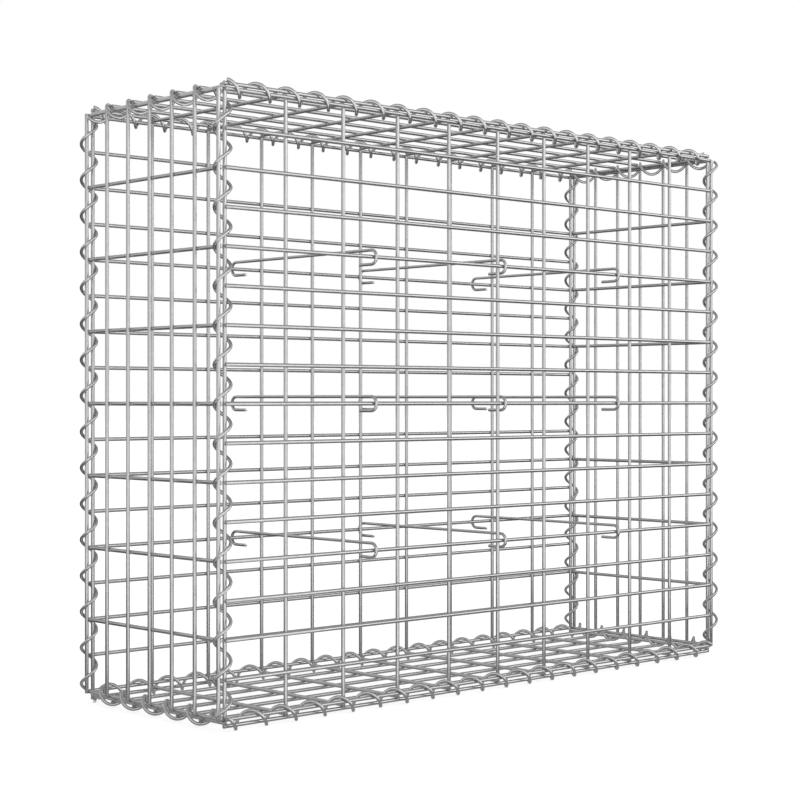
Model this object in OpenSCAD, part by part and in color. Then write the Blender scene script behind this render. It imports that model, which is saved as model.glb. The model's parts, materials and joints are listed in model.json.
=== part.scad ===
// Gabion basket: six welded wire mesh panels laced along all twelve edges by
// screwed-in wire coils, with three rows of hooked spacers from front to back.
// Millimetres, +Z up. The origin is on the ground, under the middle of the basket.

/* [Mesh] */
// Width of the basket between its outermost upright wires
basket_w = 1000; // [400:100:2000]
// Depth of the basket between the edge wires of a side
basket_d = 300; // [200:50:1000]
// Height of the basket between its lowest and highest level wires
basket_h = 800; // [400:100:1000]
// Close spacing of the mesh
mesh_close = 50; // [50:25:100]
// Wide spacing of the mesh
mesh_wide = 100; // [100:50:200]
// Diameter of the mesh wire
mesh_wire = 5.4; // [3:0.1:6]
// Depth by which two crossing wires are pressed into each other at the weld
weld_depth = 1.1; // [0.2:0.05:1.5]
// Length by which a wire runs past the centre line of the edge wire
wire_reach = 2; // [1:0.1:2.1]
// Length by which the front and back uprights and the lid's cross wires run past theirs under the lid
lid_reach = 0.3; // [0.1:0.1:1.2]
// Clearance between the edge wires of two panels that meet
panel_gap = 0.2; // [0.2:0.05:1]

/* [Coils] */
// Diameter of the coil wire
coil_wire = 4.5; // [2.5:0.1:5]
// Clearance between a coil and the wire it is screwed round
coil_seat = 0.2; // [0.2:0.05:0.6]
// Length of one turn, taken to the nearest whole number of turns in a mesh cell
coil_pitch = 50; // [50:25:100]
// Distance from the corner to the ends of the front and back coils
coil_inset_x = -1; // [-3:0.5:6]
// Distance from the corner to the ends of the side coils
coil_inset_y = 8; // [8:0.5:12]
// Distance from the corner to the ends of the upright coils
coil_inset_z = 0; // [0:0.5:6]

/* [Spacers] */
// Diameter of the spacer rod
spacer_rod = 4.5; // [2.5:0.1:5]
// Radius of the hook at the centre line of the rod
hook_r = 9.7; // [8:0.1:11]
// Length of the straight tail of a hook
hook_tail = 24; // [10:1:40]
// Clearance between a hook and the wire it holds
hook_seat = 0.3; // [0.2:0.05:0.6]
// Distance between neighbouring spacers in a row
spacer_pitch = 255; // [120:1:300]
// Distance of the middle spacer from the middle of the basket
spacer_shift = 6.5; // [6:0.5:40]
// Height between two rows of spacers
spacer_rise = 200; // [100:100:200]

/* [Hidden] */

galvanised = [0.72, 0.73, 0.74];
coil_grey = [0.66, 0.67, 0.68];
spacer_grey = [0.69, 0.70, 0.71];

half_w = basket_w / 2;
half_d = basket_d / 2;
wire_r = mesh_wire / 2;

// Cells of the mesh along each side, and their size: the rows of wires fill each side evenly
split = round(mesh_wide / mesh_close);
cells_w = round(basket_w / mesh_wide);
cells_d = round(basket_d / mesh_close);
cells_h = round(basket_h / mesh_wide) * split;
step_w = basket_w / cells_w;
step_d = basket_d / cells_d;
step_h = basket_h / cells_h;

// A mesh wire is an eight-sided bar, measured across its flats
wire_sides = 8;
wire_corner_r = wire_r / cos(180 / wire_sides);

// The two layers of a mesh, measured outwards from the edge wire that the panel is laid on
layer_step = mesh_wire - weld_depth;
inner_layer = mesh_wire + panel_gap;
outer_layer = inner_layer + layer_step;
// The lid and the base lie on the cut ends of the front and back uprights
lid_layer = lid_reach + wire_r + panel_gap;
base_layer = wire_reach + wire_r + panel_gap;

// A coil is swept with four sides and ten rings a turn, flat side inwards
coil_sides = 4;
coil_rings = 10;
coil_section_r = coil_wire / 2 * sqrt(PI / (coil_sides / 2 * sin(360 / coil_sides)));
coil_half = coil_section_r * cos(180 / coil_sides);
// A coil makes whole turns in a mesh cell, so that its strand passes between the cross wires
function turn_length(cell) = cell / max(1, round(cell / coil_pitch));

// Half the distance between the two wires at an edge whose outer wires lie this far apart
function edge_half(apart) = norm([layer_step, apart]) / 2;
// The coil is just wide enough to pass round the two wires of the widest edge
coil_bear = max(edge_half(outer_layer), edge_half(lid_layer + layer_step), edge_half(base_layer + layer_step));
coil_clear_r = coil_bear + wire_corner_r + coil_seat;
coil_r = (coil_clear_r + coil_half) / cos(180 / coil_rings);
// A strand climbs at this angle
function climb_angle(pitch) = atan2(pitch, 2 * PI * coil_r);

// Upright coils sit forward of the edge wires until they bear on both
upright_x = half_w + outer_layer / 2;
upright_y = half_d + sqrt(pow(coil_bear, 2) - pow(outer_layer / 2, 2));
// Long coils shift inwards across the two edge wires until they bear on both
function long_shift(apart) = sqrt(max(0, pow(coil_bear, 2) - pow(edge_half(apart), 2))) / (2 * edge_half(apart));
function long_y(apart) = half_d + layer_step / 2 - long_shift(apart) * apart;
function long_z(apart) = apart / 2 - long_shift(apart) * layer_step;
// Side coils hang on one edge wire, along the diagonal of the corner
diagonal = coil_bear / sqrt(2);
// Height of the lowest level wires above the ground, on which the long base coils stand
half_ring = 180 / coil_rings;
base_climb = climb_angle(turn_length(step_w));
ground_lift = long_z(base_layer + layer_step) + (coil_r + coil_half) * cos(half_ring)
    + coil_half * sin(base_climb) * sin(half_ring);

// Share of a turn after which each coil first comes round to its starting side
phase_front_left = 0.59;
phase_front_right = 0.99;
phase_back_left = 0.81;
phase_back_right = 0.98;
phase_lid_front = 0.74;
phase_lid_back = 0.68;
phase_lid_left = 0.1;
phase_lid_right = 0.9;
phase_base_front = 0.6;
phase_base_back = 0.32;
phase_base_left = 0.4;
phase_base_right = 0.62;

// Hooks draw the level wires of the front and back panels towards each other
hook_inner_r = hook_r - spacer_rod / 2;
hook_y = half_d + layer_step - (hook_inner_r - wire_corner_r - hook_seat);
// A spacer keeps this far from the uprights of the cell that it stands in
spacer_room = wire_corner_r + spacer_rod / 2 + hook_seat;
// Level wires between two rows of spacers
row_levels = round(spacer_rise / step_h);

// Bars of one layer of a mesh, spread evenly over a span along X and running up Z, past both edge
// wires by the reach at their lower and upper ends
module wire_row(cells, span, length, reach) {
    for (i = [0 : cells])
        translate([(i / cells - 0.5) * span, 0, -reach[0]])
            rotate(180 / wire_sides)
                cylinder(r = wire_corner_r, h = length + reach[0] + reach[1], $fn = wire_sides);
}

// A mesh panel in the XZ plane: uprights at Y 0 and level wires at level_y, welded where they cross
module mesh_panel(width, height, cells_across, cells_up, level_y, reach) {
    union() {
        wire_row(cells_across, width, height, reach);
        translate([-width / 2, level_y, height / 2])
            rotate([0, 90, 0])
                wire_row(cells_up, height, width, [wire_reach, wire_reach]);
    }
}

// Front or back panel, its close-set level wires outside
module long_panel(side) {
    color(galvanised)
        translate([0, side * half_d, ground_lift])
            mesh_panel(basket_w, basket_h, cells_w, cells_h, side * layer_step, [wire_reach, lid_reach]);
}

// Left or right panel, its close-set uprights outside
module short_panel(side) {
    color(galvanised)
        translate([side * (half_w + outer_layer), 0, ground_lift])
            rotate(90)
                mesh_panel(basket_d, basket_h, cells_d, cells_h / split, side * layer_step,
                           [wire_reach, wire_reach]);
}

// Base or lid, its close-set long wires outside
module flat_panel(height, side, layer, reach) {
    color(galvanised)
        translate([0, -half_d, ground_lift + height + side * layer])
            rotate([-90, 0, 0])
                mesh_panel(basket_w, basket_d, cells_w, cells_d, -side * layer_step, [reach, reach]);
}

// One point of a coil's skin: the section stands square to the strand
function coil_point(pitch, turn, corner, z) =
    let (
        climb = climb_angle(pitch),
        outward = coil_section_r * cos(corner),
        along = coil_section_r * sin(corner),
        x = coil_r + outward,
        y = -along * sin(climb)
    )
    [x * cos(turn) - y * sin(turn), x * sin(turn) + y * cos(turn), z + along * cos(climb)];

// A right-handed coil up Z, inset from both ends of its edge, with its strand on the +X side
// after a share of its first turn
module coil(edge, inset, cell, share) {
    pitch = turn_length(cell);
    ring_step = pitch / coil_rings;
    phase = share * pitch;
    first = ceil((inset - phase) / ring_step);
    last = floor((edge - inset - phase) / ring_step);
    count = last - first + 1;
    points = [
        for (k = [first : last], j = [0 : coil_sides - 1])
            coil_point(pitch, k * 360 / coil_rings, (j + 0.5) * 360 / coil_sides, phase + k * ring_step)
    ];
    // Each face is split along its shorter diagonal, so that it keeps clear of the edge wires
    skin = [
        for (k = [0 : count - 2], j = [0 : coil_sides - 1])
            let (
                next = (j + 1) % coil_sides,
                a = k * coil_sides + j,
                b = k * coil_sides + next,
                c = a + coil_sides,
                d = b + coil_sides
            )
            each j < coil_sides / 2 ? [[a, c, b], [b, c, d]] : [[a, c, d], [a, d, b]]
    ];
    start_cap = [for (j = [0 : coil_sides - 1]) j];
    end_cap = [for (j = [coil_sides - 1 : -1 : 0]) (count - 1) * coil_sides + j];
    polyhedron(points, concat([start_cap], skin, [end_cap]));
}

// Coil round an upright edge
module upright_coil(side_x, side_y, share) {
    color(coil_grey)
        translate([side_x * upright_x, side_y * upright_y, ground_lift])
            coil(basket_h, coil_inset_z, step_h, share);
}

// Coil along the front or back edge of the base or lid
module long_coil(side_y, height, side_z, layer, share) {
    color(coil_grey)
        translate([-half_w, side_y * long_y(layer + layer_step),
                   ground_lift + height + side_z * long_z(layer + layer_step)])
            rotate([90, 0, 90])
                coil(basket_w, coil_inset_x, step_w, share);
}

// Coil along the left or right edge of the base or lid
module short_coil(side_x, height, side_z, layer, share) {
    color(coil_grey)
        translate([side_x * (half_w + diagonal), -half_d,
                   ground_lift + height + side_z * (layer - diagonal)])
            rotate([-90, -90, 0])
                coil(basket_d, coil_inset_y, step_d, share);
}

// Hook at the back end of a spacer: a half ring and the tail under the rod
module hook() {
    rotate([0, 90, 0])
        rotate_extrude(angle = 180, $fn = 48)
            translate([hook_r, 0])
                circle(d = spacer_rod, $fn = 24);
    translate([0, 0, -hook_r])
        rotate([90, 0, 0])
            cylinder(d = spacer_rod, h = hook_tail, $fn = 24);
}

// Where a spacer stands along the front: beside the uprights of its mesh cell
function spacer_x(place) =
    let (
        x = spacer_shift + place * spacer_pitch,
        cell = min(max(floor((x + half_w) / step_w), 0), cells_w - 1),
        from = cell * step_w - half_w
    )
    min(max(x, from + spacer_room), from + step_w - spacer_room);

// The level wires that a row of spacers hangs on, each row under the next and all under the lid
function spacer_z(row) = min(row * row_levels, cells_h - 4 + row) * step_h;

// Spacer of one row and one place: a straight rod with a hook at each end
module spacer(row, place) {
    color(spacer_grey)
        translate([spacer_x(place), 0, ground_lift + spacer_z(row)])
            union() {
                translate([0, hook_y, hook_r])
                    rotate([90, 0, 0])
                        cylinder(d = spacer_rod, h = 2 * hook_y, $fn = 24);
                translate([0, hook_y, 0])
                    hook();
                translate([0, -hook_y, 0])
                    rotate(180)
                        hook();
            }
}

module front_panel() { long_panel(-1); }
module back_panel() { long_panel(1); }
module left_panel() { short_panel(-1); }
module right_panel() { short_panel(1); }
module base_panel() { flat_panel(0, -1, base_layer, wire_reach); }
module lid_panel() { flat_panel(basket_h, 1, lid_layer, lid_reach); }

module coil_front_left() { upright_coil(-1, -1, phase_front_left); }
module coil_front_right() { upright_coil(1, -1, phase_front_right); }
module coil_back_left() { upright_coil(-1, 1, phase_back_left); }
module coil_back_right() { upright_coil(1, 1, phase_back_right); }
module coil_lid_front() { long_coil(-1, basket_h, 1, lid_layer, phase_lid_front); }
module coil_lid_back() { long_coil(1, basket_h, 1, lid_layer, phase_lid_back); }
module coil_lid_left() { short_coil(-1, basket_h, 1, lid_layer, phase_lid_left); }
module coil_lid_right() { short_coil(1, basket_h, 1, lid_layer, phase_lid_right); }
module coil_base_front() { long_coil(-1, 0, -1, base_layer, phase_base_front); }
module coil_base_back() { long_coil(1, 0, -1, base_layer, phase_base_back); }
module coil_base_left() { short_coil(-1, 0, -1, base_layer, phase_base_left); }
module coil_base_right() { short_coil(1, 0, -1, base_layer, phase_base_right); }

module spacer_low_left() { spacer(1, -1); }
module spacer_low_middle() { spacer(1, 0); }
module spacer_low_right() { spacer(1, 1); }
module spacer_middle_left() { spacer(2, -1); }
module spacer_middle_middle() { spacer(2, 0); }
module spacer_middle_right() { spacer(2, 1); }
module spacer_high_left() { spacer(3, -1); }
module spacer_high_middle() { spacer(3, 0); }
module spacer_high_right() { spacer(3, 1); }

front_panel();
back_panel();
left_panel();
right_panel();
base_panel();
lid_panel();
coil_front_left();
coil_front_right();
coil_back_left();
coil_back_right();
coil_lid_front();
coil_lid_back();
coil_lid_left();
coil_lid_right();
coil_base_front();
coil_base_back();
coil_base_left();
coil_base_right();
spacer_low_left();
spacer_low_middle();
spacer_low_right();
spacer_middle_left();
spacer_middle_middle();
spacer_middle_right();
spacer_high_left();
spacer_high_middle();
spacer_high_right();
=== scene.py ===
"""Gabion basket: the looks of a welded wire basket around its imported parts."""

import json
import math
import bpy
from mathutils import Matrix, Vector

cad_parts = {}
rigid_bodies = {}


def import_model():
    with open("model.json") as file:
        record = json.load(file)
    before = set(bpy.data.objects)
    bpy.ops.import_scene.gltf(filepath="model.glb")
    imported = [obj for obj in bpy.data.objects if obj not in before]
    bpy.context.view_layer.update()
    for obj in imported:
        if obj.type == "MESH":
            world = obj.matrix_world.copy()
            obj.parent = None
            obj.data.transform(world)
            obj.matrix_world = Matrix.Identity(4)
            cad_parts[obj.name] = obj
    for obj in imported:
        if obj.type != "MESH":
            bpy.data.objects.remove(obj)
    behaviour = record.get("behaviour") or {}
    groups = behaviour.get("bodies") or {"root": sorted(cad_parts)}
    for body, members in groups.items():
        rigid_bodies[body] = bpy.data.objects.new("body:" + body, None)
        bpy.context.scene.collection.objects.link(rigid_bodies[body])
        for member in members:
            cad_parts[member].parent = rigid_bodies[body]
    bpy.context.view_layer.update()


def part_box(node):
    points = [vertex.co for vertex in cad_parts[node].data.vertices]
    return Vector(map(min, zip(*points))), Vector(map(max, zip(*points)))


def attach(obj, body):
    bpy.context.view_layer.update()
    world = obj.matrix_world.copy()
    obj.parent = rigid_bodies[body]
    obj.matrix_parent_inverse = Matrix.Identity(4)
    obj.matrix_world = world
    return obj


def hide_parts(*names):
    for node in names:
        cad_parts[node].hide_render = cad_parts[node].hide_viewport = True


bl_info = {
    "name": "Gabion Basket",
    "version": (1, 0, 0),
    "blender": (4, 5, 0),
    "location": "View3D > Sidebar > Gabion",
    "description": "Builds a wire gabion basket: welded panels, edge coils and hooked spacers",
    "category": "Add Mesh",
}

import bmesh
import bpy
import numpy as np

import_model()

BODY = "root"
MM = 0.001
QUARTER = math.pi / 2
FULL_TURN = 2 * math.pi
TINY = 1e-6

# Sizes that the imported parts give: a panel is two wires thick less the depth of its welds,
# and its box ends at the outside of its edge wires
WELD_DEPTH = 1.1 * MM
FRONT_LOW, FRONT_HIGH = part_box("front_panel")
LEFT_LOW, LEFT_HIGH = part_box("left_panel")
MESH_WIRE = (FRONT_HIGH.y - FRONT_LOW.y + WELD_DEPTH) / 2
BASKET_W = FRONT_HIGH.x - FRONT_LOW.x - MESH_WIRE
BASKET_H = FRONT_HIGH.z - FRONT_LOW.z - MESH_WIRE
BASKET_D = LEFT_HIGH.y - LEFT_LOW.y - MESH_WIRE
LIFT = FRONT_LOW.z + MESH_WIRE / 2
# How far a wire runs past the centre line of the edge wire, and how far where the lid lies on it
REACH = 2 * MM
LID_REACH = 0.3 * MM
# A spacer's box is as wide as its rod and as high as its hook
SPACER_LOW, SPACER_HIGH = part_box("spacer_low_left")
ROD = SPACER_HIGH.x - SPACER_LOW.x
HOOK = (SPACER_HIGH.z - SPACER_LOW.z - ROD) / 2
HOOK_SPAN = SPACER_HIGH.y - SPACER_LOW.y - 2 * HOOK - ROD


def linear(code):
    """A colour written as sRGB hex, in the linear values that shaders take."""
    parts = [int(code[i:i + 2], 16) / 255 for i in (1, 3, 5)]
    return [c / 12.92 if c <= 0.04045 else ((c + 0.055) / 1.055) ** 2.4 for c in parts]


def length(name, description, default):
    """A size in metres that a user may change."""
    return bpy.props.FloatProperty(
        name=name, description=description, default=default,
        unit="LENGTH", subtype="DISTANCE", precision=5)


def colour(name, description, code):
    """A colour that a user may change, written as sRGB hex."""
    return bpy.props.FloatVectorProperty(
        name=name, description=description, default=linear(code), subtype="COLOR", min=0, max=1)


def count(name, description, default):
    """A number of cells that a user may change."""
    return bpy.props.IntProperty(name=name, description=description, default=default, min=1)


class GabionMesh(bpy.types.PropertyGroup):
    """Sizes of the six welded panels."""

    width: length("Width", "Between the outermost uprights of the front", BASKET_W)
    depth: length("Depth", "Between the edge wires of a side", BASKET_D)
    height: length("Height", "Between the lowest and highest level wires", BASKET_H)
    lift: length("Lift", "Height of the lowest level wires above the ground", LIFT)
    cells_w: count("Cells Across", "Mesh cells along the width", 10)
    cells_d: count("Cells Deep", "Mesh cells along the depth", 6)
    cells_h: count("Cells Up", "Close mesh cells up the height", 16)
    split: count("Split", "Close cells in one wide cell", 2)
    wire: length("Wire", "Diameter of the mesh wire", MESH_WIRE)
    weld: length("Weld Depth", "How far crossing wires are pressed into each other", WELD_DEPTH)
    gap: length("Panel Gap", "Clearance between the edge wires of two panels", 0.2 * MM)


class GabionCoils(bpy.types.PropertyGroup):
    """Sizes of the coils that lace the edges."""

    wire: length("Wire", "Diameter of the coil wire", 4.65 * MM)
    radius: length("Radius", "Radius of a coil at the centre line of its wire", 10.425 * MM)
    turn: length("Turn", "Length of one turn", 50 * MM)
    long_inset: length("Long Inset", "From the corner to the end of a front or back coil", -1 * MM)
    side_inset: length("Side Inset", "From the corner to the end of a side coil", 8 * MM)


class GabionSpacers(bpy.types.PropertyGroup):
    """Sizes of the hooked spacers."""

    rod: length("Rod", "Diameter of the spacer rod", ROD)
    hook: length("Hook", "Radius of a hook at the centre line of the rod", HOOK)
    tail: length("Tail", "Straight tail after a hook", 24 * MM)
    span: length("Span", "Between the centres of the hooks", HOOK_SPAN)


class GabionFinish(bpy.types.PropertyGroup):
    """Colours of the wires and of the ground."""

    mesh: colour("Mesh Zinc", "Bright zinc of the mesh wire", "#d3d3d3")
    coil: colour("Coil Zinc", "Zinc of the coil wire", "#cdcdcd")
    spacer: colour("Spacer Zinc", "Zinc of the spacer rod", "#c8c8c8")
    dull: colour("Dull Zinc", "Weathered zinc between the bright spangles", "#cbcbcb")
    weld: colour("Weld", "Zinc burnt off round a weld", "#8f8f8f")
    floor: colour("Floor", "Ground under the basket", "#e6e6e6")


# Rows and columns of the spacers
ROWS = ("low", "middle", "high")
COLUMNS = ("left", "middle", "right")

# Each coil's two sides of the basket, and the share of a turn after which it first comes round
# to its starting side. Upright ones have sides in X and Y, long ones in Y and Z, short ones in X and Z.
UPRIGHT_COILS = {
    "coil_front_left": (-1, -1, 0.59), "coil_front_right": (1, -1, 0.99),
    "coil_back_left": (-1, 1, 0.81), "coil_back_right": (1, 1, 0.98),
}
LONG_COILS = {
    "coil_lid_front": (-1, 1, 0.74), "coil_lid_back": (1, 1, 0.68),
    "coil_base_front": (-1, -1, 0.6), "coil_base_back": (1, -1, 0.32),
}
SHORT_COILS = {
    "coil_lid_left": (-1, 1, 0.1), "coil_lid_right": (1, 1, 0.9),
    "coil_base_left": (-1, -1, 0.4), "coil_base_right": (1, -1, 0.62),
}
# A packed coil has this many rings a turn, and ends on a whole ring
COIL_RINGS = 10

# How finely the wires are rounded
WIRE_SIDES = 16
COIL_SIDES = 12
COIL_STEPS = 40
ROD_SIDES = 16
HOOK_STEPS = 18
RIM_STEPS = 2
SMOOTH_ANGLE = math.radians(35)

# Width of the broken edge where the shears cut a mesh wire, and a coil or a rod
SHEAR_RIM = 0.45 * MM
SNIP_RIM = 0.35 * MM


def deselect():
    """Goes back to object mode, with nothing selected."""
    if bpy.context.object and bpy.context.object.mode != "OBJECT":
        bpy.ops.object.mode_set(mode="OBJECT")
    for obj in bpy.context.view_layer.objects.selected[:]:
        obj.select_set(False)


def pick(obj):
    """Makes one object the selected and active one."""
    deselect()
    obj.select_set(True)
    bpy.context.view_layer.objects.active = obj


def pick_edges(test):
    """In edit mode, selects the edges that pass a test."""
    mesh = bmesh.from_edit_mesh(bpy.context.object.data)
    bpy.ops.mesh.select_all(action="DESELECT")
    bpy.context.tool_settings.mesh_select_mode = (False, True, False)
    for edge in mesh.edges:
        edge.select_set(test(edge))
    mesh.select_flush_mode()
    bmesh.update_edit_mesh(bpy.context.object.data)


def close_ends():
    """In edit mode, caps both ends of a tube and breaks the sharp rim that the shears left."""
    pick_edges(lambda edge: edge.is_boundary)
    bpy.ops.mesh.fill_holes(sides=0)
    mesh = bmesh.from_edit_mesh(bpy.context.object.data)
    bpy.ops.mesh.select_all(action="DESELECT")
    for face in mesh.faces:
        # The walls of a tube have four corners, and its two caps have more
        if len(face.verts) > 4:
            for edge in face.edges:
                edge.select_set(True)
    bmesh.update_edit_mesh(bpy.context.object.data)
    bpy.ops.mesh.bevel(offset=SNIP_RIM, segments=RIM_STEPS, profile=0.5)
    bpy.ops.mesh.select_all(action="SELECT")
    bpy.ops.mesh.normals_make_consistent(inside=False)


def apply(obj, kind, **settings):
    """Adds a modifier with its settings and applies it."""
    pick(obj)
    modifier = obj.modifiers.new(kind.lower(), kind)
    for key, value in settings.items():
        setattr(modifier, key, value)
    bpy.ops.object.modifier_apply(modifier=modifier.name)


def repeat(obj, number, step):
    """Copies a mesh in a row, each copy one step further on."""
    apply(obj, "ARRAY", count=number, use_relative_offset=False, use_constant_offset=True,
          constant_offset_displace=step)


def place(obj, location, turn=(0, 0, 0)):
    """Turns and moves an object, and puts its place into its mesh."""
    pick(obj)
    obj.rotation_euler = turn
    obj.location = location
    bpy.ops.object.transform_apply(location=True, rotation=True, scale=True)


def keep(obj, node, material):
    """Finishes a piece: its name, material and slot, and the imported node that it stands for."""
    pick(obj)
    obj.name = obj.data.name = node + "_wire"
    obj.data.materials.clear()
    obj.data.materials.append(material)
    bpy.ops.object.shade_smooth_by_angle(angle=SMOOTH_ANGLE)
    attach(obj, BODY)
    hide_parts(node)


def add_node(tree, kind, settings=None, links=None):
    """Adds a node, sets its sockets or options, and links its inputs."""
    node = tree.nodes.new(kind)
    for key, value in (settings or {}).items():
        if isinstance(key, int) or key in node.inputs:
            node.inputs[key].default_value = value
        else:
            setattr(node, key, value)
    for key, source in (links or {}).items():
        tree.links.new(source, node.inputs[key])
    return node


def new_tree(name):
    """A material with an empty node tree."""
    material = bpy.data.materials.get(name) or bpy.data.materials.new(name)
    material.use_nodes = True
    material.node_tree.nodes.clear()
    return material, material.node_tree


# Hot-dip galvanised wire: drawn steel under a zinc skin, which gives the eye an even, satin grey.
# The zinc freezes in spangles, some bright and some dull, more of one kind in some stretches of
# wire than in others, and runs in faint ripples. Spangles on wire are finer than this, and are
# drawn as coarse as they need to be to show. Welding burns the zinc to a rougher, darker grey.
SPANGLE = 6 * MM
SPANGLE_SHARE = 0.5
DRIFT = 90 * MM
DRIFT_DETAIL = 2.0
DULL_FROM, DULL_TO = 0.35, 1.1
RIPPLE = 8 * MM
RIPPLE_DETAIL = 1.0
RIPPLE_HEIGHT = 0.15 * MM
RIPPLE_STRENGTH = 0.03
BURNT_ROUGHER = 0.2
# Roughness of a bright and of a dull spangle
MESH_GLOSS = (0.16, 0.21)
COIL_GLOSS = (0.10, 0.14)
SPACER_GLOSS = (0.16, 0.21)


def zinc(name, bright, gloss):
    """Galvanised wire with spangles between a smooth and a rough finish."""
    finish = bpy.context.scene.gabion_finish
    material, tree = new_tree(name)
    where = add_node(tree, "ShaderNodeTexCoord").outputs["Object"]
    spangle = add_node(tree, "ShaderNodeTexVoronoi", {"Scale": 1 / SPANGLE}, {"Vector": where})
    ripple = add_node(tree, "ShaderNodeTexNoise", {"Scale": 1 / RIPPLE, "Detail": RIPPLE_DETAIL},
                      {"Vector": where})
    drift = add_node(tree, "ShaderNodeTexNoise", {"Scale": 1 / DRIFT, "Detail": DRIFT_DETAIL},
                     {"Vector": where})
    cell = add_node(tree, "ShaderNodeSeparateColor", None, {0: spangle.outputs["Color"]}).outputs[0]
    share = add_node(tree, "ShaderNodeMath", {"operation": "MULTIPLY_ADD", 1: SPANGLE_SHARE},
                     {0: cell, 2: drift.outputs["Fac"]})
    dullness = add_node(tree, "ShaderNodeMapRange", {"From Min": DULL_FROM, "From Max": DULL_TO},
                        {"Value": share.outputs[0]}).outputs[0]
    # A colour mix has its factor on socket 0, its colours on 6 and 7, and its result on output 2
    tone = add_node(tree, "ShaderNodeMix",
                    {"data_type": "RGBA", 6: (*bright, 1), 7: (*finish.dull, 1)}, {0: dullness})
    heat = add_node(tree, "ShaderNodeAttribute", {"attribute_name": "weld_heat"}).outputs["Fac"]
    burnt = add_node(tree, "ShaderNodeMath", {"operation": "MULTIPLY"},
                     {0: heat, 1: ripple.outputs["Fac"]}).outputs[0]
    skin = add_node(tree, "ShaderNodeMix", {"data_type": "RGBA", 7: (*finish.weld, 1)},
                    {0: burnt, 6: tone.outputs[2]})
    sound = add_node(tree, "ShaderNodeMapRange", {"To Min": gloss[0], "To Max": gloss[1]},
                     {"Value": dullness})
    rough = add_node(tree, "ShaderNodeMath", {"operation": "MULTIPLY_ADD", 1: BURNT_ROUGHER},
                     {0: burnt, 2: sound.outputs[0]})
    bump = add_node(tree, "ShaderNodeBump", {"Strength": RIPPLE_STRENGTH, "Distance": RIPPLE_HEIGHT},
                    {"Height": ripple.outputs["Fac"]})
    shader = add_node(tree, "ShaderNodeBsdfPrincipled", {"Metallic": 1.0},
                      {"Base Color": skin.outputs[2], "Roughness": rough.outputs[0],
                       "Normal": bump.outputs["Normal"]})
    add_node(tree, "ShaderNodeOutputMaterial", None, {"Surface": shader.outputs[0]})
    return material


def mesh_zinc():
    """Wire of the panels."""
    return zinc("galvanised_mesh_wire", bpy.context.scene.gabion_finish.mesh, MESH_GLOSS)


def coil_zinc():
    """Smoother wire of the coils."""
    return zinc("galvanised_coil_wire", bpy.context.scene.gabion_finish.coil, COIL_GLOSS)


def spacer_zinc():
    """Rod of the spacers."""
    return zinc("galvanised_spacer_rod", bpy.context.scene.gabion_finish.spacer, SPACER_GLOSS)


# Mesh panels: edge loops this far from a weld keep the wire between welds evenly shaded
WELD_LOOP = 4 * MM
# Half sizes of the bead pressed out at a weld, and how far round the weld the zinc is burnt
WELD_BEAD = (2.3 * MM, 0.75 * MM, 2.3 * MM)
HEAT_REACH = 6 * MM


def drawn_wire(run, cells, reach):
    """One straight wire up Z, sheared off at both ends, with loops on either side of every weld."""
    mesh = bpy.context.scene.gabion_mesh
    low, high = -reach[0], run + reach[1]
    deselect()
    bpy.ops.mesh.primitive_cylinder_add(vertices=WIRE_SIDES, radius=mesh.wire / 2, depth=high - low)
    wire = bpy.context.object
    place(wire, (0, 0, (low + high) / 2))
    bpy.ops.object.mode_set(mode="EDIT")
    for i in range(cells + 1):
        for side in (-1, 1):
            at = i * run / cells + side * WELD_LOOP
            if low < at < high:
                bpy.ops.mesh.select_all(action="SELECT")
                bpy.ops.mesh.bisect(plane_co=(0, 0, at), plane_no=(0, 0, 1))
    for end in (low, high):
        pick_edges(lambda edge, end=end: all(abs(v.co.z - end) < TINY for v in edge.verts))
        bpy.ops.mesh.bevel(offset=SHEAR_RIM, segments=RIM_STEPS, profile=0.5)
    bpy.ops.object.mode_set(mode="OBJECT")
    return wire


def wire_row(run, cross_cells, span, cells, reach):
    """A row of like wires up Z, spread evenly over a span along X."""
    wire = drawn_wire(run, cross_cells, reach)
    place(wire, (-span / 2, 0, 0))
    repeat(wire, cells + 1, (span / cells, 0, 0))
    return wire


def weld_beads(width, height, across, up, y):
    """The bead of metal pressed out at every crossing."""
    deselect()
    bpy.ops.mesh.primitive_ico_sphere_add(
        subdivisions=2, radius=1, location=(-width / 2, y, 0), scale=WELD_BEAD)
    beads = bpy.context.object
    bpy.ops.object.transform_apply(location=True, rotation=True, scale=True)
    repeat(beads, across + 1, (width / across, 0, 0))
    repeat(beads, up + 1, (0, 0, height / up))
    return beads


def fuse(obj, other):
    """Welds another solid into this one."""
    apply(obj, "BOOLEAN", operation="UNION", solver="MANIFOLD", object=other)
    bpy.data.objects.remove(other)


def mark_heat(obj, width, height, across, up):
    """Writes how close each point is to a weld, for the burnt zinc round it."""
    points = np.empty(len(obj.data.vertices) * 3, np.float32)
    obj.data.vertices.foreach_get("co", points)
    points = points.reshape(-1, 3)
    off_x = (points[:, 0] + width / 2) / (width / across)
    off_z = points[:, 2] / (height / up)
    off_x = np.abs(off_x - np.round(off_x)) * width / across
    off_z = np.abs(off_z - np.round(off_z)) * height / up
    heat = np.clip(1 - np.hypot(off_x, off_z) / HEAT_REACH, 0, 1)
    layer = obj.data.attributes.new("weld_heat", "FLOAT", "POINT")
    layer.data.foreach_set("value", heat.astype(np.float32))


def mesh_panel(width, height, across, up, level_y, reach):
    """A panel in the XZ plane: uprights at Y 0 and level wires at level_y, welded where they cross."""
    panel = wire_row(height, up, width, across, reach)
    levels = wire_row(width, across, height, up, (REACH, REACH))
    place(levels, (-width / 2, level_y, height / 2), (0, QUARTER, 0))
    fuse(panel, levels)
    fuse(panel, weld_beads(width, height, across, up, level_y / 2))
    mark_heat(panel, width, height, across, up)
    return panel


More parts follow.
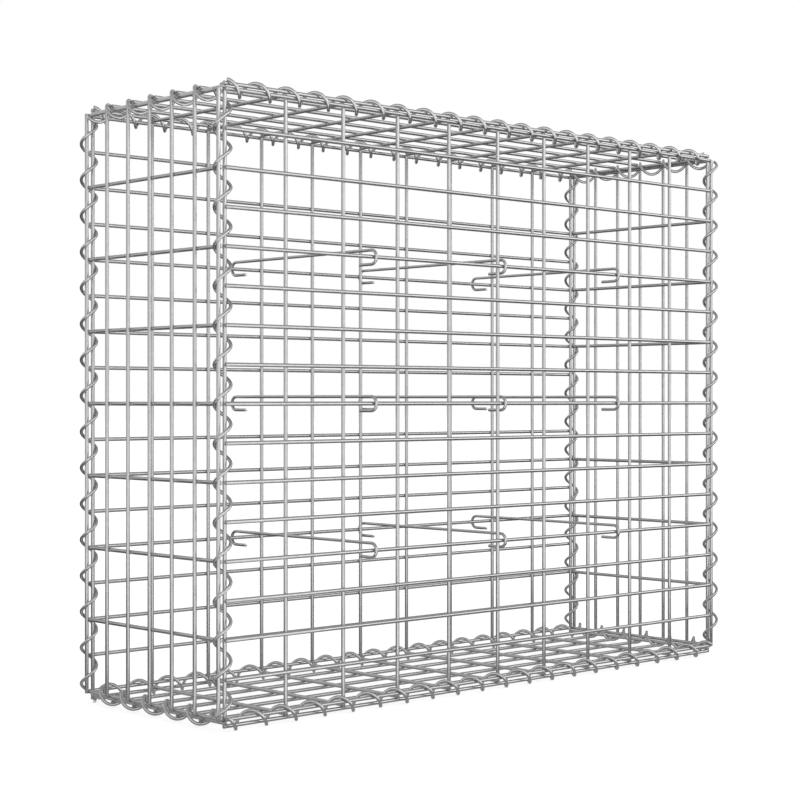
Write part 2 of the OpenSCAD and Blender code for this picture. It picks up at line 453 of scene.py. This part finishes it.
def layers():
    """The step between the two layers of a mesh, and how far out the side panels' outer layer lies."""
    mesh = bpy.context.scene.gabion_mesh
    step = mesh.wire - mesh.weld
    return step, mesh.wire + mesh.gap + step


def flat_layer(side):
    """How far out the cross wires of the lid or the base lie, on the cut ends of the uprights."""
    mesh = bpy.context.scene.gabion_mesh
    return (LID_REACH if side > 0 else REACH) + mesh.wire / 2 + mesh.gap


def edge_height(side):
    """Height of the highest or the lowest level wires of the walls."""
    mesh = bpy.context.scene.gabion_mesh
    return mesh.lift + (mesh.height if side > 0 else 0)


def flat_height(side):
    """Height of the cross wires of the lid or the base."""
    return edge_height(side) + side * flat_layer(side)


class GABION_OT_long_panels(bpy.types.Operator):
    """Front and back panels, their close-set level wires outside"""

    bl_idname = "gabion.long_panels"
    bl_label = "Front and Back Panels"

    def execute(self, context):
        mesh = context.scene.gabion_mesh
        step, _ = layers()
        material = mesh_zinc()
        for node, side in (("front_panel", -1), ("back_panel", 1)):
            panel = mesh_panel(mesh.width, mesh.height, mesh.cells_w, mesh.cells_h, side * step,
                               (REACH, LID_REACH))
            place(panel, (0, side * mesh.depth / 2, mesh.lift))
            keep(panel, node, material)
        return {"FINISHED"}


class GABION_OT_side_panels(bpy.types.Operator):
    """Left and right panels, their close-set uprights outside"""

    bl_idname = "gabion.side_panels"
    bl_label = "Side Panels"

    def execute(self, context):
        mesh = context.scene.gabion_mesh
        step, outer = layers()
        material = mesh_zinc()
        for node, side in (("left_panel", -1), ("right_panel", 1)):
            panel = mesh_panel(mesh.depth, mesh.height, mesh.cells_d, mesh.cells_h // mesh.split,
                               side * step, (REACH, REACH))
            place(panel, (side * (mesh.width / 2 + outer), 0, mesh.lift), (0, 0, QUARTER))
            keep(panel, node, material)
        return {"FINISHED"}


class GABION_OT_flat_panels(bpy.types.Operator):
    """Base and lid, their close-set long wires outside"""

    bl_idname = "gabion.flat_panels"
    bl_label = "Base and Lid"

    def execute(self, context):
        mesh = context.scene.gabion_mesh
        step, _ = layers()
        material = mesh_zinc()
        for node, side, reach in (("base_panel", -1, REACH), ("lid_panel", 1, LID_REACH)):
            panel = mesh_panel(mesh.width, mesh.depth, mesh.cells_w, mesh.cells_d, -side * step,
                               (reach, reach))
            place(panel, (0, -mesh.depth / 2, flat_height(side)), (-QUARTER, 0, 0))
            keep(panel, node, material)
        return {"FINISHED"}


def coil(edge, inset, share):
    """A right-handed coil up Z, inset from both ends of its edge, cut off at both ends."""
    sizes = bpy.context.scene.gabion_coils
    ring = sizes.turn / COIL_RINGS
    phase = share * sizes.turn
    first = math.ceil((inset - phase) / ring - TINY)
    last = math.floor((edge - inset - phase) / ring + TINY)
    climb = math.atan2(sizes.turn, FULL_TURN * sizes.radius)
    deselect()
    bpy.ops.mesh.primitive_circle_add(
        vertices=COIL_SIDES, radius=sizes.wire / 2, location=(sizes.radius, 0, phase + first * ring),
        rotation=(climb - QUARTER, 0, 0))
    strand = bpy.context.object
    bpy.ops.object.transform_apply(location=True, rotation=True, scale=True)
    place(strand, (0, 0, 0), (0, 0, first * FULL_TURN / COIL_RINGS))
    rings = last - first
    steps = rings * COIL_STEPS // COIL_RINGS
    apply(strand, "SCREW", axis="Z", angle=rings * FULL_TURN / COIL_RINGS, screw_offset=rings * ring,
          steps=steps, render_steps=steps, use_merge_vertices=False)
    bpy.ops.object.mode_set(mode="EDIT")
    close_ends()
    bpy.ops.object.mode_set(mode="OBJECT")
    return strand


class GABION_OT_coils(bpy.types.Operator):
    """Coils screwed along all twelve edges"""

    bl_idname = "gabion.coils"
    bl_label = "Edge Coils"

    def execute(self, context):
        mesh, sizes = context.scene.gabion_mesh, context.scene.gabion_coils
        step, outer = layers()
        material = coil_zinc()
        # A coil bears on the two wires of its edge, and those of the upright edges are the furthest
        # apart. All coils are alike, so the others sit aside of the middle of theirs, and the short
        # ones hang on the corner's wire, along its diagonal.
        bear = math.hypot(step, outer) / 2
        diagonal = bear / math.sqrt(2)
        upright_x = mesh.width / 2 + outer / 2
        upright_y = mesh.depth / 2 + math.sqrt(bear ** 2 - (outer / 2) ** 2)
        for node, (side_x, side_y, share) in UPRIGHT_COILS.items():
            strand = coil(mesh.height, 0, share)
            place(strand, (side_x * upright_x, side_y * upright_y, mesh.lift))
            keep(strand, node, material)
        for node, (side_y, side_z, share) in LONG_COILS.items():
            apart = flat_layer(side_z) + step
            half = math.hypot(step, apart) / 2
            shift = math.sqrt(bear ** 2 - half ** 2) / (2 * half)
            y = mesh.depth / 2 + step / 2 - shift * apart
            z = edge_height(side_z) + side_z * (apart / 2 - shift * step)
            strand = coil(mesh.width, sizes.long_inset, share)
            place(strand, (-mesh.width / 2, side_y * y, z), (QUARTER, 0, QUARTER))
            keep(strand, node, material)
        for node, (side_x, side_z, share) in SHORT_COILS.items():
            x = side_x * (mesh.width / 2 + diagonal)
            z = flat_height(side_z) - side_z * diagonal
            strand = coil(mesh.depth, sizes.side_inset, share)
            place(strand, (x, -mesh.depth / 2, z), (-QUARTER, -QUARTER, 0))
            keep(strand, node, material)
        return {"FINISHED"}


def hooked_rod(half_run):
    """A rod along Y with a hook turned down and back at each end."""
    sizes = bpy.context.scene.gabion_spacers
    deselect()
    bpy.ops.mesh.primitive_circle_add(
        vertices=ROD_SIDES, radius=sizes.rod / 2, location=(0, sizes.tail - half_run, -sizes.hook),
        rotation=(QUARTER, 0, 0))
    rod = bpy.context.object
    bpy.ops.object.transform_apply(location=True, rotation=True, scale=True)
    bpy.ops.object.mode_set(mode="EDIT")
    bpy.ops.mesh.select_all(action="SELECT")
    bpy.ops.mesh.extrude_region_move(TRANSFORM_OT_translate={"value": (0, -sizes.tail, 0)})
    bpy.ops.mesh.spin(steps=HOOK_STEPS, angle=math.pi, center=(0, -half_run, 0), axis=(1, 0, 0))
    bpy.ops.mesh.extrude_region_move(TRANSFORM_OT_translate={"value": (0, 2 * half_run, 0)})
    bpy.ops.mesh.spin(steps=HOOK_STEPS, angle=math.pi, center=(0, half_run, 0), axis=(1, 0, 0))
    bpy.ops.mesh.extrude_region_move(TRANSFORM_OT_translate={"value": (0, -sizes.tail, 0)})
    bpy.ops.mesh.select_all(action="SELECT")
    bpy.ops.mesh.remove_doubles(threshold=TINY)
    close_ends()
    bpy.ops.object.mode_set(mode="OBJECT")
    return rod


class GABION_OT_spacers(bpy.types.Operator):
    """Hooked spacers from the front to the back panel, three in each of three rows"""

    bl_idname = "gabion.spacers"
    bl_label = "Spacers"

    def execute(self, context):
        half_run = context.scene.gabion_spacers.span / 2
        material = spacer_zinc()
        for row in ROWS:
            for column in COLUMNS:
                node = f"spacer_{row}_{column}"
                low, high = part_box(node)
                rod = hooked_rod(half_run)
                place(rod, ((low.x + high.x) / 2, (low.y + high.y) / 2, (low.z + high.z) / 2))
                keep(rod, node, material)
        return {"FINISHED"}


# Camera of the photograph, found from the crossings of the mesh
CAMERA_AT = (-1.880724, -1.950443, LIFT + 0.404982)
CAMERA_YAW = math.radians(42.994)
CAMERA_SENSOR = 36
CAMERA_LENS = 80.1265
CAMERA_SHIFT = (0.00455, 0)
CAMERA_REACH = 200

# The floor glows only where it is seen, and the sky is white there and only fills elsewhere
FLOOR_SIZE = 60.0
FLOOR_GLOW = 0.72
SKY_FILL = 0.45

SUN_STRENGTH = 0.25
SUN_SPREAD = math.radians(40)
SUN_TURN = (math.radians(79), 0, math.radians(44))
BOX_POWER = 14
BOX_SIZE = 3
BOX_AT = (-0.25, -3.76, 2.46)
BOX_TURN = (math.radians(61.4), 0, math.radians(-3.8))

# Cards that the camera doesn't see, glowing with their colour so that the wire reflects them: painted
# reflections, darker than the white round them, each with its size, place, turn and colour.
# Three lie just over the floor and paint shade into the undersides of the wires, one hangs overhead,
# and two stand behind and to the left of the basket.
ALONG_VIEW = (0, 0, -CAMERA_YAW)
CARDS = {
    "low_card": ((6.0, 2.15), (0.49, 0.53, 0.6 * MM), ALONG_VIEW, "#606060"),
    "front_card": ((2.55, 0.95), (-1.80, 0.57, 0.6 * MM), ALONG_VIEW, "#7c7c7c"),
    "near_card": ((1.2, 0.5), (0, 0, 0.9 * MM), (0, 0, 0), "#a0a0a0"),
    "high_card": ((14, 14), (0, -2.5, 5), (0, 0, 0), "#b9b9b9"),
    "back_card": ((12, 1.5), (1.09, 1.17, 0.75), (QUARTER, 0, -CAMERA_YAW), "#a4a4a4"),
    "left_card": ((12, 4), (-2.19, 2.04, 2), (QUARTER, 0, QUARTER - CAMERA_YAW), "#d2d2d2"),
}


def seen(tree):
    """One where a ray comes straight from the camera, a mirror or a glass, and zero elsewhere."""
    path = add_node(tree, "ShaderNodeLightPath").outputs
    two = add_node(tree, "ShaderNodeMath", {"operation": "MAXIMUM"},
                   {0: path["Is Camera Ray"], 1: path["Is Glossy Ray"]})
    return add_node(tree, "ShaderNodeMath", {"operation": "MAXIMUM"},
                    {0: two.outputs[0], 1: path["Is Transmission Ray"]}).outputs[0]


def add_floor(finish):
    """A pale floor that looks white and keeps the shadow of the basket."""
    deselect()
    bpy.ops.mesh.primitive_plane_add(size=FLOOR_SIZE)
    floor = bpy.context.object
    floor.name = "floor"
    material, tree = new_tree("pale_studio_floor")
    matt_and_glow = add_node(tree, "ShaderNodeBsdfDiffuse", {"Color": (*finish.floor, 1)})
    lift = add_node(tree, "ShaderNodeMath", {"operation": "MULTIPLY", 1: FLOOR_GLOW},
                    {0: seen(tree)})
    glow = add_node(tree, "ShaderNodeEmission", None, {"Strength": lift.outputs[0]})
    both = add_node(tree, "ShaderNodeAddShader", None, {0: matt_and_glow.outputs[0], 1: glow.outputs[0]})
    add_node(tree, "ShaderNodeOutputMaterial", None, {"Surface": both.outputs[0]})
    floor.data.materials.append(material)


def add_card(name, size, at, turn, code):
    """A glowing card that the camera doesn't see: a painted reflection, which only shows in the wire's
    reflections.
    """
    deselect()
    bpy.ops.mesh.primitive_plane_add(size=1)
    card = bpy.context.object
    card.name = name
    card.scale = (*size, 1)
    card.rotation_euler = turn
    card.location = at
    material, tree = new_tree(name + "_painted_reflection")
    # The card glows with its colour, which the wire shows as a painted reflection
    matt_and_glow = add_node(tree, "ShaderNodeEmission", {"Color": (*linear(code), 1)})
    add_node(tree, "ShaderNodeOutputMaterial", None, {"Surface": matt_and_glow.outputs[0]})
    card.data.materials.append(material)
    card.visible_camera = card.visible_diffuse = card.visible_shadow = False
    card.visible_transmission = card.visible_volume_scatter = False


def add_world():
    """White where it is seen, and a softer fill for everything that it lights."""
    world = bpy.data.worlds.new("studio")
    bpy.context.scene.world = world
    world.use_nodes = True
    tree = world.node_tree
    tree.nodes.clear()
    level = add_node(tree, "ShaderNodeMapRange", {"To Min": SKY_FILL, "To Max": 1.0},
                     {"Value": seen(tree)})
    sky = add_node(tree, "ShaderNodeBackground", {"Color": (1, 1, 1, 1)},
                   {"Strength": level.outputs[0]})
    add_node(tree, "ShaderNodeOutputWorld", None, {"Surface": sky.outputs[0]})


def add_sun():
    """A weak, wide key light from the right, low over the front."""
    deselect()
    bpy.ops.object.light_add(type="SUN", rotation=SUN_TURN)
    sun = bpy.context.object
    sun.name = "key"
    sun.data.energy = SUN_STRENGTH
    sun.data.angle = SUN_SPREAD


def add_soft_box():
    """A broad square lamp before the front."""
    deselect()
    bpy.ops.object.light_add(type="AREA", location=BOX_AT, rotation=BOX_TURN)
    lamp = bpy.context.object
    lamp.name = "front"
    lamp.data.energy = BOX_POWER
    lamp.data.size = BOX_SIZE


def add_camera():
    """A camera with the photograph's view."""
    deselect()
    bpy.ops.object.camera_add(location=CAMERA_AT, rotation=(QUARTER, 0, -CAMERA_YAW))
    camera = bpy.context.object
    camera.data.sensor_width = CAMERA_SENSOR
    camera.data.lens = CAMERA_LENS
    camera.data.shift_x, camera.data.shift_y = CAMERA_SHIFT
    camera.data.clip_end = CAMERA_REACH
    bpy.context.scene.camera = camera


class GABION_OT_stage(bpy.types.Operator):
    """Pale floor, soft light and the camera of the photograph"""

    bl_idname = "gabion.stage"
    bl_label = "Stage"

    def execute(self, context):
        add_floor(context.scene.gabion_finish)
        for name, card in CARDS.items():
            add_card(name, *card)
        add_world()
        add_sun()
        add_soft_box()
        add_camera()
        context.scene.view_settings.view_transform = "Standard"
        return {"FINISHED"}


class GABION_PT_panel(bpy.types.Panel):
    """Lists the steps that build the basket, and its sizes"""

    bl_idname = "GABION_PT_panel"
    bl_label = "Gabion Basket"
    bl_space_type = "VIEW_3D"
    bl_region_type = "UI"
    bl_category = "Gabion"

    def draw(self, context):
        for step in OPERATORS:
            self.layout.operator(step.bl_idname)
        for name, group in GROUPS.items():
            box = self.layout.box()
            for key in group.__annotations__:
                box.prop(getattr(context.scene, name), key)


GROUPS = {
    "gabion_mesh": GabionMesh, "gabion_coils": GabionCoils,
    "gabion_spacers": GabionSpacers, "gabion_finish": GabionFinish,
}
OPERATORS = (
    GABION_OT_stage, GABION_OT_long_panels, GABION_OT_side_panels, GABION_OT_flat_panels,
    GABION_OT_coils, GABION_OT_spacers,
)
CLASSES = (*GROUPS.values(), *OPERATORS, GABION_PT_panel)


def register():
    """Registers the classes and hangs the groups of sizes on the scene."""
    for cls in CLASSES:
        bpy.utils.register_class(cls)
    for name, group in GROUPS.items():
        setattr(bpy.types.Scene, name, bpy.props.PointerProperty(type=group))


def unregister():
    """Takes the groups of sizes off the scene and unregisters the classes."""
    for name in GROUPS:
        delattr(bpy.types.Scene, name)
    for cls in reversed(CLASSES):
        bpy.utils.unregister_class(cls)


def main():
    """Builds the basket and its stage."""
    register()
    bpy.ops.gabion.stage()
    bpy.ops.gabion.long_panels()
    bpy.ops.gabion.side_panels()
    bpy.ops.gabion.flat_panels()
    bpy.ops.gabion.coils()
    bpy.ops.gabion.spacers()


if __name__ == "__main__":
    main()
